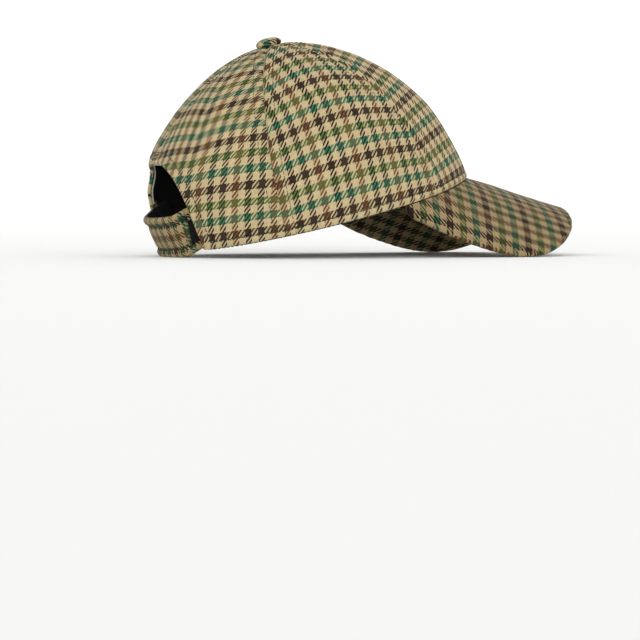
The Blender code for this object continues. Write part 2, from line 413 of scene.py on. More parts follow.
def waviness(points, size, seed):
    """Smooth uneven waves, from -1 to 1, about this size."""
    total = np.zeros(points.shape[:-1])
    spin = np.random.default_rng(seed)
    for _ in range(6):
        direction = unit(spin.normal(size=3))
        length = size * spin.uniform(0.7, 1.5)
        start = spin.uniform(0, 6.3)
        total += np.sin(points @ direction * 2 * np.pi / length + start)
    return total / 3.2


def relief(angle, rise, gap_strip=False):
    """How far the real cloth stands out from the CAD's smooth one: folded hems, sewn seams and slack."""
    points = crown_point(angle, rise)
    seam = from_seam(angle, rise)
    rim = from_rim(angle, rise)
    gap = from_gap(angle, rise)
    out = 0.00030 * waviness(points, 0.045, 3) * soft_step(seam, 0.002, 0.015)
    out = out + 0.00010 * waviness(points, 0.014, 8)
    # A seam is a valley, with a padded ridge out to the stitched line on each side.
    pucker = 0.5 + 0.5 * waviness(points, 0.010, 11)
    out = out - pressed(seam, *seam_valley) - pressed(seam, *seam_line)
    out = out + pressed(seam, seam_ridge[0] + pucker_height * pucker, *seam_ridge[1:])
    # The rim is folded under and stitched.
    out = out - rounded(rim, rim_fold) - pressed(rim, *rim_line)
    out = out + pressed(rim, rim_ridge[0] + pucker_height * pucker, *rim_ridge[1:])
    # The gap's edge is folded and stitched too. The panel's own cloth lies a little lower beneath its hem.
    if gap_strip:
        out = out + pressed(gap, *gap_ridge)
    else:
        out = out - 0.00045 * (1 - soft_step(gap, gap_hem - 0.0006, gap_hem + 0.0004))
    return out - pressed(gap, *gap_line)


def grain(angle, rise, centre):
    """The cloth's own coordinates on the panel with this middle: distance across, and distance up."""
    rises = np.linspace(0.0, 0.995, 240)
    line = crown_point(np.full(240, float(centre)), rises)
    lengths = run_along(line)
    slope = np.gradient(line, axis=0)
    turn = math.radians(centre)
    lean = np.arctan2(-(slope[:, 0] * math.cos(turn) + slope[:, 1] * math.sin(turn)), slope[:, 2])
    up = np.interp(rise, rises, lengths)
    tip = np.interp(rise, rises, lean)
    aside = np.radians(angle - centre)
    bow = 0.09 * (np.arctan2(np.sin(tip), np.cos(tip) * np.cos(aside)) - tip)
    at_rim = 0.09 * (np.arctan2(math.sin(lean[0]), math.cos(lean[0]) * np.cos(aside)) - lean[0])
    up = up + bow - at_rim * (1 - rise) ** 2
    steps = np.linspace(0.0, 1.0, 25)
    ring = crown_point(centre + (angle - centre)[..., None] * steps, rise[..., None] + 0 * steps)
    arc = np.linalg.norm(np.diff(ring[..., :2], axis=-2), axis=-1).sum(-1)
    level = np.maximum(np.cos(tip), 0.02)
    size = np.maximum(np.abs(aside), 1e-6)
    arc = arc * np.arcsin(level * np.sin(size)) / (level * size)
    return np.sign(aside) * arc, up


# Meshes
def make_object(name, points, faces, uvs, materials, slots=None):
    """A mesh object. uvs holds one pair for each point, in checks of the cloth."""
    mesh = bpy.data.meshes.new(name)
    faces = faces if isinstance(faces, list) else faces.tolist()
    mesh.from_pydata(np.asarray(points, float).reshape(-1, 3).tolist(), [], faces)
    for item in materials:
        mesh.materials.append(item)
    if slots is not None:
        mesh.polygons.foreach_set("material_index", np.asarray(slots, np.int32))
    corners = np.empty(len(mesh.loops), np.int32)
    mesh.loops.foreach_get("vertex_index", corners)
    layer = mesh.uv_layers.new(name="weave")
    layer.data.foreach_set("uv", np.asarray(uvs, np.float32).reshape(-1, 2)[corners].reshape(-1))
    mesh.polygons.foreach_set("use_smooth", np.ones(len(mesh.polygons), bool))
    mesh.update()
    made = bpy.data.objects.new(name, mesh)
    bpy.context.scene.collection.objects.link(made)
    return made


def dress(made, node):
    """The piece rides on the cap's one body and stands for this CAD node."""
    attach(made, "root")
    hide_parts(node)


def grid_faces(rows, columns, start=0, closed=False):
    """Faces of a grid of points, row by row."""
    i, j = np.meshgrid(np.arange(rows - 1), np.arange(columns if closed else columns - 1), indexing="ij")
    a = start + i * columns + j
    b = start + i * columns + (j + 1) % columns
    return np.stack([a, b, b + columns, a + columns], -1).reshape(-1, 4)


def border_faces(rows, columns, start, other):
    """Faces that join the edge of one grid to the edge of another of the same size."""
    edge = list(range(columns))
    edge += [i * columns + columns - 1 for i in range(1, rows)]
    edge += [(rows - 1) * columns + j for j in range(columns - 2, -1, -1)]
    edge += [i * columns for i in range(rows - 2, 0, -1)]
    edge = np.array(edge)
    after = np.roll(edge, -1)
    return np.stack([start + after, start + edge, other + edge, other + after], -1)


# Materials
class Nodes:
    """Short names for adding shader nodes."""

    def __init__(self, name):
        self.material = bpy.data.materials.new(name)
        self.material.use_nodes = True
        self.tree = self.material.node_tree
        self.shader = self.tree.nodes["Principled BSDF"]

    def add(self, kind, **settings):
        node = self.tree.nodes.new(kind)
        for key, value in settings.items():
            setattr(node, key, value)
        return node

    def link(self, source, target):
        if isinstance(source, (int, float)):
            target.default_value = source
        elif isinstance(source, tuple):
            target.default_value = (*source, 1.0) if len(source) == 3 else source
        else:
            self.tree.links.new(source, target)

    def math(self, operation, a, b=0.0, c=0.0):
        node = self.add("ShaderNodeMath", operation=operation)
        self.link(a, node.inputs[0])
        self.link(b, node.inputs[1])
        self.link(c, node.inputs[2])
        return node.outputs[0]

    def mix(self, share, a, b, blend="MIX"):
        node = self.add("ShaderNodeMix", data_type="RGBA", blend_type=blend)
        self.link(share, node.inputs[0])
        self.link(a, node.inputs[6])
        self.link(b, node.inputs[7])
        return node.outputs[2]

    def noise(self, scale, detail, vector):
        node = self.add("ShaderNodeTexNoise")
        node.inputs["Scale"].default_value = scale
        node.inputs["Detail"].default_value = detail
        self.link(vector, node.inputs["Vector"])
        return node.outputs[0]

    def white(self, vector):
        node = self.add("ShaderNodeTexWhiteNoise", noise_dimensions="3D")
        self.link(vector, node.inputs["Vector"])
        return node.outputs[0]

    def combine(self, x, y, z=0.0):
        node = self.add("ShaderNodeCombineXYZ")
        for value, target in zip((x, y, z), node.inputs):
            self.link(value, target)
        return node.outputs[0]

    def bump(self, height, strength, distance):
        node = self.add("ShaderNodeBump")
        node.inputs["Strength"].default_value = strength
        node.inputs["Distance"].default_value = distance
        self.link(height, node.inputs["Height"])
        return node.outputs[0]


def stripe_colour(n, place, colours):
    """The colour of a thread: three colours by turns, each followed by a cream stripe as wide."""
    number = n.math("FLOORED_MODULO", n.math("FLOOR", place), 3.0)
    first = n.mix(n.math("GREATER_THAN", number, 0.5), linear(colours[0]), linear(colours[1]))
    coloured = n.mix(n.math("GREATER_THAN", number, 1.5), first, linear(colours[2]))
    return n.mix(n.math("GREATER_THAN", n.math("FRACT", place), 0.5), coloured, linear(cream))


def tweed_material(name, brightness):
    """A two and two twill, six coloured threads and six cream ones both ways."""
    n = Nodes(name)
    uv = n.add("ShaderNodeUVMap", uv_map="weave")
    split = n.add("ShaderNodeSeparateXYZ")
    n.link(uv.outputs[0], split.inputs[0])
    wobble = n.noise(1.9, 2.0, uv.outputs[0])
    wobble = n.math("MULTIPLY_ADD", wobble, 0.05, -0.025)
    u = n.math("ADD", split.outputs[0], wobble)
    v = n.math("ADD", split.outputs[1], wobble)
    warp_thread = n.math("MULTIPLY", u, threads_in_check)
    weft_thread = n.math("MULTIPLY", v, threads_in_check)
    i = n.math("FLOOR", warp_thread)
    j = n.math("FLOOR", weft_thread)
    slant = n.math("ADD", n.math("SUBTRACT", warp_thread, weft_thread), 0.5)
    warp_up = n.math("LESS_THAN", n.math("FLOORED_MODULO", slant, 4.0), 2.0)
    warp = stripe_colour(n, u, (rust, dark_brown, grey_brown))
    weft = stripe_colour(n, v, (weft_brown, teal, green))
    colour = n.mix(warp_up, weft, warp)
    # Where coloured threads cross cream ones, the cream ones lie a little in shade.
    warp_cream = n.math("GREATER_THAN", n.math("FRACT", u), 0.5)
    weft_cream = n.math("GREATER_THAN", n.math("FRACT", v), 0.5)
    mixed = n.math("ABSOLUTE", n.math("SUBTRACT", warp_cream, weft_cream))
    # Each thread is a little lighter or darker than the next, and flecked.
    weft_up = n.math("SUBTRACT", 1.0, warp_up)
    number = n.combine(n.math("MULTIPLY", i, warp_up), n.math("MULTIPLY", j, weft_up), warp_up)
    tone = n.white(number)
    fleck = n.noise(22.0, 3.0, uv.outputs[0])
    patch = n.noise(0.8, 2.0, uv.outputs[0])
    light = n.math("MULTIPLY_ADD", tone, 0.14, 0.93)
    light = n.math("MULTIPLY", light, n.math("MULTIPLY_ADD", fleck, 0.30, 0.85))
    light = n.math("MULTIPLY", light, n.math("MULTIPLY_ADD", patch, 0.10, 0.95))
    light = n.math("MULTIPLY", light, n.math("MULTIPLY_ADD", mixed, -0.14, 1.0))
    # Slubs: uneven patches drawn out along the twill's slant
    on_slant = n.math("MULTIPLY", n.math("ADD", u, v), 0.9)
    slub = n.combine(n.math("MULTIPLY", n.math("SUBTRACT", u, v), 3.2), on_slant)
    light = n.math("MULTIPLY", light, n.math("MULTIPLY_ADD", n.noise(1.0, 2.0, slub), 0.44, 0.78))
    # Every second float is a little fuller than the next.
    fuller = n.math("SINE", n.math("MULTIPLY", slant, math.pi / 4))
    light = n.math("MULTIPLY", light, n.math("MULTIPLY_ADD", n.math("MULTIPLY", fuller, mixed), 0.17, 1.0))
    # A thread is rounded; painted shade darkens it where it dives under the next.
    on_weft, on_warp = n.math("FRACT", weft_thread), n.math("FRACT", warp_thread)
    across = n.mix(warp_up, n.combine(on_weft, 0.0), n.combine(on_warp, 0.0))
    parts = n.add("ShaderNodeSeparateXYZ")
    n.link(across, parts.inputs[0])
    side = n.math("ABSOLUTE", n.math("MULTIPLY_ADD", parts.outputs[0], 2.0, -1.0))
    round_top = n.math("SUBTRACT", 1.0, n.math("POWER", side, 3.0))
    light = n.math("MULTIPLY", light, n.math("MULTIPLY_ADD", round_top, 0.16, 0.87))
    # The brightness scales the cloth's colour; for the visor and the strap it holds painted shade.
    shade = n.combine(*[n.math("MULTIPLY", light, amount) for amount in brightness])
    final = n.mix(1.0, colour, shade, "MULTIPLY")
    n.link(final, n.shader.inputs["Base Color"])
    n.shader.inputs["Roughness"].default_value = 0.92
    n.shader.inputs["Specular IOR Level"].default_value = 0.18
    n.shader.inputs["Sheen Weight"].default_value = 0.05
    n.shader.inputs["Sheen Roughness"].default_value = 0.5
    fuzz = n.noise(9.0, 4.0, uv.outputs[0])
    height = n.math("ADD", n.math("MULTIPLY", round_top, 0.5), n.math("MULTIPLY", fuzz, 0.8))
    n.link(n.bump(height, 0.25, 0.00025), n.shader.inputs["Normal"])
    return n.material


def plain_material(name, colour, scale, roughness, strength, depth):
    """A plain woven cloth or tape: fine crossing ribs, a little uneven."""
    n = Nodes(name)
    uv = n.add("ShaderNodeUVMap", uv_map="weave")
    split = n.add("ShaderNodeSeparateXYZ")
    n.link(uv.outputs[0], split.inputs[0])
    ribs = n.math("SINE", n.math("MULTIPLY", split.outputs[0], scale))
    ribs = n.math("MULTIPLY", ribs, n.math("SINE", n.math("MULTIPLY", split.outputs[1], scale)))
    uneven = n.noise(5.0, 3.0, uv.outputs[0])
    light = n.math("MULTIPLY_ADD", ribs, 0.06, 0.84)
    light = n.math("ADD", light, n.math("MULTIPLY", uneven, 0.28))
    shade = n.combine(light, light, light)
    n.link(n.mix(1.0, linear(colour), shade, "MULTIPLY"), n.shader.inputs["Base Color"])
    n.shader.inputs["Roughness"].default_value = roughness
    n.shader.inputs["Specular IOR Level"].default_value = 0.2
    n.link(n.bump(n.math("ADD", ribs, uneven), strength, depth), n.shader.inputs["Normal"])
    return n.material


tweed = tweed_material("tweed", crown_brightness)
# Painted shade: the visor's and the strap's copies of the cloth are darker and warmer than the crown's.
visor_tweed_painted_shade = tweed_material("visor_tweed_painted_shade", visor_painted_shade)
strap_tweed_painted_shade = tweed_material("strap_tweed_painted_shade", strap_painted_shade)
inside_cloth = plain_material("inside_cloth", lining, 90.0, 0.95, 0.3, 0.0002)
tape = plain_material("binding_tape", pale_edge_grey, 60.0, 0.85, 0.5, 0.0002)
thread = plain_material("sewing_thread", thread_green, 40.0, 0.6, 0.3, 0.0001)


# Crown panels
def fine_steps(length, fine, near, coarse):
    """Positions from 0 to length, close together over the first stretch."""
    first = np.arange(0.0, near, fine)
    rest_count = max(int(round((length - near) / coarse)), 2)
    return np.concatenate([first, np.linspace(near, length, rest_count + 1)])


def columns_between(first_seam, second_seam):
    """Shares across a panel, close together at both seams."""
    line = crown_point(np.linspace(first_seam, second_seam, 60), 0.1)
    width = np.linalg.norm(line[1:] - line[:-1], axis=1).sum()
    half = fine_steps(width / 2, 0.00042, 0.0021, 0.00115)
    both = np.concatenate([half, (width - half[:-1])[::-1]])
    return both / width


def panel_uv(angle, rise, centre):
    """The cloth's checks on a panel. It is cut a little off the straight line, so its stripes lean."""
    across, up = grain(angle, rise, centre)
    turn = abs(centre)
    kind = "front" if turn < front_seam_angle else "side" if turn < back_seam_angle else "back"
    stripe_at, level, lean, lean_ends, low_width, high_width, bow = stripe_rules[kind]
    width = np.interp(up, narrowing, (low_width, high_width))
    u = (across - lean * (np.minimum(up, lean_ends) - level) - stripe_at) / width + stripe_middle
    v = (up - first_band_height) / check_height + stripe_middle
    # On the back panels the bands rise towards the side seams, more so higher up.
    v = v - bow * (np.abs(across) - 0.014) * np.clip((up - 0.030) / 0.045, 0.0, 1.8)
    return np.stack([u, v], -1)


top_rise = 0.9935
line_length = 0.150
rise_steps = fine_steps(line_length, 0.00040, 0.0060, 0.00118) / line_length * top_rise


def add_panel(name, node, first_seam, second_seam):
    """One panel: outer cloth, inner cloth and folded edges, and on a back panel the gap's folded hem."""
    shares = columns_between(first_seam, second_seam)
    angles = first_seam + (second_seam - first_seam) * shares
    angle, rise = np.meshgrid(angles, rise_steps)
    centre = (first_seam + second_seam) / 2
    normal = crown_normal(angle, rise)
    base = crown_point(angle, rise)
    outer = base + normal * relief(angle, rise)[..., None]
    rim = from_rim(angle, rise)
    inner = base - normal * (cloth_thickness - rounded(rim, rim_inner_fold))[..., None]
    rows, columns = angle.shape
    uv = panel_uv(angle, rise, centre)
    outside, inside = grid_faces(rows, columns), grid_faces(rows, columns, rows * columns)[:, ::-1]
    border = border_faces(rows, columns, 0, rows * columns)
    points = np.concatenate([outer.reshape(-1, 3), inner.reshape(-1, 3)])
    uvs = np.concatenate([uv.reshape(-1, 2), uv.reshape(-1, 2) + (0.0, -0.2)])
    faces = np.concatenate([outside, inside, border])
    slots = np.concatenate([np.zeros(len(outside)), np.ones(len(inside)), np.zeros(len(border))])
    if abs(centre) > back_seam_angle:
        gap = from_gap(angle, rise).reshape(-1)
        gap = np.concatenate([gap, gap])
        kept = (gap[faces] > 0.0030).any(axis=1)
        faces, slots = faces[kept], slots[kept]
        strip_points, strip_uvs, strip_faces, strip_slots = gap_strip(centre)
        faces = np.concatenate([faces, strip_faces + len(points)])
        slots = np.concatenate([slots, strip_slots])
        points = np.concatenate([points, strip_points])
        uvs = np.concatenate([uvs, strip_uvs])
    dress(make_object(name, rest(points), faces, uvs, (tweed, inside_cloth), slots), node)


# Each row is a place round the gap's folded hem, in millimetres: how far from the edge, then how far in from
# the outer cloth.
hem_section = (
    (7.0, 0.45),
    (6.4, 0.10),
    (5.8, 0.00),
    (5.2, 0.00),
    (4.2, 0.00),
    (3.2, 0.00),
    (2.2, 0.00),
    (1.4, 0.00),
    (0.8, 0.10),
    (0.35, 0.35),
    (0.10, 0.75),
    (0.00, 1.20),
    (0.10, 1.65),
    (0.40, 2.00),
    (1.2, 2.15),
    (3.0, 2.15),
    (6.0, 2.10),
)


def gap_strip(centre):
    """The folded hem along the gap's edge on one back panel."""
    turns = np.linspace(0.0, 90.0, 121) if centre > 0 else np.linspace(180.0, 90.0, 121)
    rows = []
    for from_edge, depth in hem_section:
        angle, rise = back_place(*gap_outline(turns, from_edge * MM))
        angle = np.where(centre > 0, angle, angle - 360.0)
        angle = np.clip(angle, -180.0, 180.0) if centre < 0 else np.clip(angle, 0.0, 180.0)
        normal = crown_normal(angle, rise)
        out = relief(angle, rise, gap_strip=True) if depth < 1.0 else np.zeros(angle.shape)
        points = crown_point(angle, rise) + normal * (out - depth * MM)[..., None]
        uv = panel_uv(angle, rise, centre)
        rows.append((points, uv))
    points = np.array([row[0] for row in rows])
    uvs = np.array([row[1] for row in rows])
    count, length = points.shape[:2]
    faces = grid_faces(count, length)
    if centre > 0:
        faces = faces[:, ::-1]
    return points.reshape(-1, 3), uvs.reshape(-1, 2), faces, np.zeros(len(faces))


seams = (0.0, front_seam_angle, back_seam_angle, 180.0)
for kind, first_seam, second_seam in zip(("front", "side", "back"), seams, seams[1:]):
    add_panel(f"cloth_{kind}_left", f"panel_{kind}_left", first_seam, second_seam)
    add_panel(f"cloth_{kind}_right", f"panel_{kind}_right", -second_seam, -first_seam)


# The tape inside the gap's edge
def add_binding():
    """The tape runs from the strap's one end, over the gap, to the other."""
    bottom = strap_height - strap_below_rim + strap_ends_rise + 0.001
    start = math.degrees(math.asin((bottom / gap_height) ** (gap_height_power / 2)))
    turns = np.linspace(start, 180.0 - start, 200)
    rows = []
    depths = (0.0, 0.25, 0.75, 1.0, 1.0, 1.0, 0.75, 0.25, 0.0, 0.0, 0.0)
    places = (0.4, 0.08, 0.0, 0.9, 3.5, 6.94, 7.0, 6.92, 6.6, 5.0, 2.0)
    for place, depth in zip(places, depths):
        angle, rise = back_place(*gap_outline(turns, place * MM))
        inward = cloth_thickness + binding_gap + binding_thickness * depth
        rows.append(crown_point(angle, rise) - crown_normal(angle, rise) * inward)
    points = np.array(rows)
    count, length = points.shape[:2]
    run = run_along(points[0])
    uvs = np.stack(np.broadcast_arrays(run[None, :] * 400, np.array(places)[:, None] * 0.4), -1)
    faces = grid_faces(length, count, closed=True)
    swapped = points.transpose(1, 0, 2)
    caps = [list(range(count)), list(range((length - 1) * count, length * count))[::-1]]
    mesh_faces = faces.tolist() + caps
    # Only the tape's rounded edge is drawn pale grey: the rest of it takes the dark inside cloth.
    across = np.tile(np.arange(count), length - 1)
    slots = np.where((across < 3) | (across == count - 1), 0, 1).tolist() + [1, 1]
    uvs = uvs.transpose(1, 0, 2)
    made = make_object("gap_binding", rest(swapped), mesh_faces, uvs, (tape, inside_cloth), slots)
    dress(made, "arch_binding")


add_binding()


# Visor
def visor_sheet(across, forward):
    """The visor's top cloth from its flat pattern."""
    slope = math.radians(visor_slope)
    turn = across / visor_arch_radius
    drop = visor_arch_radius * (1 - np.cos(turn))
    x = crown_half_length + forward * math.cos(slope) - drop * math.sin(slope)
    z = -forward * math.sin(slope) - drop * math.cos(slope)
    return np.stack([x, visor_arch_radius * np.sin(turn), z], -1)


def visor_inner(share):
    """Where the visor's sewn edge lies in its flat pattern."""
    slope, turn = math.radians(visor_slope), np.radians(share * visor_end_angle)
    across = visor_arch_radius * np.arcsin(crown_half_width * np.sin(turn) / visor_arch_radius)
    drop = visor_arch_radius * (1 - np.cos(across / visor_arch_radius))
    forward = (crown_half_length * (np.cos(turn) - 1) + drop * math.sin(slope)) / math.cos(slope)
    return across, forward


def visor_outer(share):
    """The free edge in the flat pattern."""
    end_across, end_forward = visor_inner(np.array(1.0))
    size = np.abs(share)
    turn = np.pi / 2 * np.minimum(size / visor_front_part, 1.0)
    front_across = visor_half_width * np.sin(turn) ** (2 / visor_side_power)
    forward_share = np.maximum(np.cos(turn), 0.0) ** (2 / visor_front_power)
    front_forward = visor_widest_at + (visor_length - visor_widest_at) * forward_share
    part = np.maximum((size - visor_front_part) / (1 - visor_front_part), 0.0)
    side_across = visor_half_width - (visor_half_width - end_across) * part**2
    side_forward = visor_widest_at - (visor_widest_at - end_forward) * part
    front = size <= visor_front_part
    across = np.sign(share) * np.where(front, front_across, side_across)
    return across, np.where(front, front_forward, side_forward)


def visor_flat(share, out):
    """The flat pattern's coordinates of a point of the visor."""
    inner, outer = visor_inner(share), visor_outer(share)
    return inner[0] + (outer[0] - inner[0]) * out, inner[1] + (outer[1] - inner[1]) * out


def visor_point(share, out):
    """The visor's top cloth, from its sewn edge at out 0 to its free edge at out 1."""
    share, out = np.broadcast_arrays(np.asarray(share, float), np.asarray(out, float))
    across, forward = visor_flat(share, out)
    point = visor_sheet(across, forward)
    sewn = visor_sheet(*visor_inner(share))
    rim_height = -rim_dip * np.sin(np.radians(share * visor_end_angle)) ** 2
    point[..., 2] += (rim_height - piece_gap - sewn[..., 2]) * (1 - out) ** 2
    return point


def visor_normal(share, out):
    near_out, far_out = np.maximum(out - 0.02, 0.0), np.minimum(out + 0.02, 1.0)
    near_share = np.maximum(share - 0.01, -visor_blunt_end)
    far_share = np.minimum(share + 0.01, visor_blunt_end)
    forward = visor_point(share, far_out) - visor_point(share, near_out)
    across = visor_point(far_share, out) - visor_point(near_share, out)
    return unit(np.cross(forward, across))


visor_edge_shares = np.linspace(-1.0, 1.0, 500)
visor_edge = visor_point(visor_edge_shares, 1.0)


def from_visor_edge(points):
    flat = points.reshape(-1, 3)
    best = np.full(len(flat), 1.0)
    for place in visor_edge:
        best = np.minimum(best, np.linalg.norm(flat - place, axis=-1))
    return best.reshape(points.shape[:-1])


def add_visor():
    shares = np.sin(np.linspace(-1.0, 1.0, 181) * np.pi / 2) * 0.35 + np.linspace(-1.0, 1.0, 181) * 0.65
    share = shares * visor_blunt_end
    outs = np.concatenate([np.linspace(0.0, 0.93, 52), np.linspace(0.942, 0.9995, 10)])
    s, o = np.meshgrid(share, outs, indexing="ij")
    normal = visor_normal(s, np.maximum(o, 0.02))
    top = visor_point(s, o)
    edge = from_visor_edge(top)
    # The edge is round, with a seam pressed in just inside it.
    fall = rounded(edge, visor_thickness / 2)
    slack = 0.00025 * waviness(top, 0.035, 21) + 0.00008 * waviness(top, 0.012, 22)
    sewn = pressed(edge, *visor_ridge) - pressed(edge, *visor_line)
    upper = top + normal * (slack * soft_step(edge, 0.002, 0.008) - fall + sewn)[..., None]
    under_slack = 0.0002 * waviness(top, 0.03, 23) * soft_step(edge, 0.002, 0.008)
    lower = top - normal * (visor_thickness - fall + under_slack)[..., None]
    turn = np.radians(share * visor_end_angle)
    outward = np.stack([np.cos(turn) / crown_half_length, np.sin(turn) / crown_half_width, 0 * turn], -1)
    tucked = visor_point(share, 0.0) - unit(outward) * cloth_thickness
    upper = np.concatenate([tucked[:, None], upper], 1)
    lower = np.concatenate([(tucked - (0.0, 0.0, visor_thickness))[:, None], lower], 1)
    across, forward = visor_flat(s, o)
    u = across / check_width + stripe_middle
    v = -forward / check_height_visor + stripe_middle
    uv = np.stack([u, v], -1)
    uv = np.concatenate([uv[:, :1] + (0.0, 0.2), uv], 1)
    rows, columns = upper.shape[:2]
    top_faces = grid_faces(rows, columns)[:, ::-1]
    under_faces = grid_faces(rows, columns, rows * columns)
    border = border_faces(rows, columns, 0, rows * columns)[:, ::-1]
    points = np.concatenate([upper.reshape(-1, 3), lower.reshape(-1, 3)])
    uvs = np.concatenate([uv.reshape(-1, 2), uv.reshape(-1, 2)])
    faces = np.concatenate([top_faces, under_faces, border])
    # The visor's cloth carries painted shade.
    dress(make_object("visor_cloth", rest(points), faces, uvs, (visor_tweed_painted_shade,)), "visor")


add_visor()


# Strap
def smooth_loop(points, count):
    """A closed smooth curve through these points."""
    number = len(points)
    place = np.linspace(0.0, number, count, endpoint=False)
    index = place.astype(int)
    f = (place - index)[:, None]
    return smooth_between(*(points[(index + step) % number] for step in (-1, 0, 1, 2)), f)


def rim_at(y):
    """The rim's point on the back at this y, and the level way out there."""
    angle, _ = back_place(y, np.zeros(np.shape(y)) - 1.0)
    point, outward = crown_point(angle, 0.0), crown_normal(angle, np.zeros(np.shape(y)))
    point[..., 2] = 0.0
    outward[..., 2] = 0.0
    return point, unit(outward)


def strap_frame(y):
    """Where the strap runs: rim, way out, how far it stands off and how high its bottom edge is."""
    base, outward = rim_at(y)
    bend = soft_step(np.abs(y), strap_bend_from, strap_bend_to)
    stands = strap_stands_out - (strap_stands_out + cloth_thickness + piece_gap + strap_tucks_in) * bend
    return base, outward, stands, strap_ends_rise * bend - strap_below_rim


def strap_points(y, section, lowered=0.0):
    """Points of the strap's skin, with y a grid: along the strap by round its section."""
    flat = y.reshape(-1)
    base, outward, stands, bottom = strap_frame(flat)
    base, outward = base.reshape(*y.shape, 3), outward.reshape(*y.shape, 3)
    height, out = section[:, 0], section[:, 1]
    lean = -math.tan(math.radians(strap_lean)) * (strap_height - height)
    reach = stands.reshape(y.shape) + lean[None, :] + out[None, :] - lowered
    points = base + outward * reach[..., None]
    points[..., 2] += bottom.reshape(y.shape) + height[None, :]
    return points, outward


# How long the strap is from its middle to each place, for its cloth
strap_sides = np.linspace(0.0, strap_half_length + 0.010, 400)
strap_line = strap_frame(strap_sides)[0]
strap_lengths = run_along(strap_line)


def strap_uv(y, girth):
    """The strap's checks, narrower towards its ends."""
    length = np.interp(np.abs(y), strap_sides, strap_lengths)
    length = np.sign(y) * (length + strap_end_squeeze * np.maximum(length - 0.020, 0.0))
    u = (girth - strap_stripe_at) / check_width + stripe_middle
    v = (length - strap_band_at) / strap_check + stripe_middle
    return np.stack(np.broadcast_arrays(u, v), -1)


def add_strap():
    section = smooth_loop(strap_section, 96) * MM
    girth = run_along(section)
    ends = np.interp(section[:, 0], strap_end_heights, strap_end_places)
    share = np.linspace(-1.0, 1.0, 140)
    y = share[:, None] * ends[None, :]
    from_end = (1 - np.abs(share))[:, None] * ends[None, :]
    face = (section[:, 1] > -1.0 * MM)[None, :]
    # The end is folded round, with a row of stitches pressed in beside it.
    lowered = rounded(from_end, strap_end_fold) + pressed(from_end, *strap_end_line)
    points, outward = strap_points(y, section, lowered * face)
    height = section[:, 0]
    valleys = sum(pressed(height, strap_valley_depth, place, strap_valley_width) for place in strap_valleys)
    ripple = 0.00020 * waviness(points * (1.0, 1.0, 0.3), 0.008, 31) + 0.00012 * waviness(points, 0.02, 32)
    points = points + outward * ((ripple - valleys[None, :]) * face)[..., None]
    uvs = strap_uv(y, girth[None, :])
    world = rest(points)
    world[..., 2] = np.maximum(world[..., 2], 0.0)
    rows, columns = world.shape[:2]
    faces = grid_faces(rows, columns, closed=True)[:, ::-1]
    middle = world.mean(axis=1)
    middle_uv = uvs.mean(axis=1)
    count = rows * columns
    ring = np.arange(columns)
    after = np.roll(ring, -1)
    near_end = np.stack([ring, after, np.full(columns, count)], -1)
    last = (rows - 1) * columns
    far_end = np.stack([last + after, last + ring, np.full(columns, count + 1)], -1)
    all_points = np.concatenate([world.reshape(-1, 3), middle[:1], middle[-1:]])
    all_uvs = np.concatenate([uvs.reshape(-1, 2), middle_uv[:1], middle_uv[-1:]])
    all_faces = faces.tolist() + near_end.tolist() + far_end.tolist()
    inner = section[:, 1] < -1.9 * MM
    slots = np.tile(np.where(inner, 1, 0), rows - 1).tolist() + [0] * (2 * columns)
    # Past each end the strap goes in behind the panel. Between its two rolled bands that part takes the dark
    # inside cloth as painted shade of the recess.
    recess_painted_shade = face[0] & (height > strap_valleys[0] - 0.0010) & (height < strap_valleys[1] - 0.0022)
    for side in (-1, 1):
        place = np.linspace(0.0, 1.0, 40)
        from_y = ends[None, :] - strap_overlap
        tail_y = side * (from_y + (strap_half_length - from_y) * place[:, None])
        tail, _ = strap_points(tail_y, section, strap_tail_depth * face)
        tail = rest(tail)
        tail[..., 2] = np.maximum(tail[..., 2], 0.0)
        start = len(all_points)
        tail_faces = grid_faces(len(place), columns, start, closed=True)
        tail_faces = tail_faces[:, ::-1] if side > 0 else tail_faces
        all_points = np.concatenate([all_points, tail.reshape(-1, 3)])
        all_uvs = np.concatenate([all_uvs, strap_uv(tail_y, girth[None, :]).reshape(-1, 2)])
        all_faces += tail_faces.tolist()
        # Painted shade: the band between the rolls takes the dark inside cloth.
        slots += np.tile(np.where(recess_painted_shade | inner, 1, 0), len(place) - 1).tolist()
    # The strap's cloth carries painted shade.
    cloths = (strap_tweed_painted_shade, inside_cloth)
    dress(make_object("strap_cloth", all_points, all_faces, all_uvs, cloths, slots), "strap")


def strap_paths():
    """Stitched lines under the rolled bands and beside the two ends."""
    section = smooth_loop(strap_section, 96) * MM
    outer = section[:, 1] > -1.0 * MM
    order = np.argsort(section[outer, 0])
    heights, outs = section[outer, 0][order], section[outer, 1][order]
    paths = []
    for height in strap_valleys:
        end = np.interp(height, strap_end_heights, strap_end_places) - 0.0012
        y = np.linspace(-end, end, 200)[:, None]
        row = np.array([[height, np.interp(height, heights, outs)]])
        points, outward = strap_points(y, row, thread_sunk)
        paths.append((points[:, 0], outward[:, 0]))
    for side in (-1, 1):
        height = np.linspace(0.0015, 0.0245, 60)
        y = side * (np.interp(height, strap_end_heights, strap_end_places) - strap_end_stitch)
        rows = np.stack([height, np.interp(height, heights, outs)], -1)
        points, outward = strap_points(y[None, :], rows, thread_sunk)
        paths.append((points[0], outward[0]))
    return paths


add_strap()


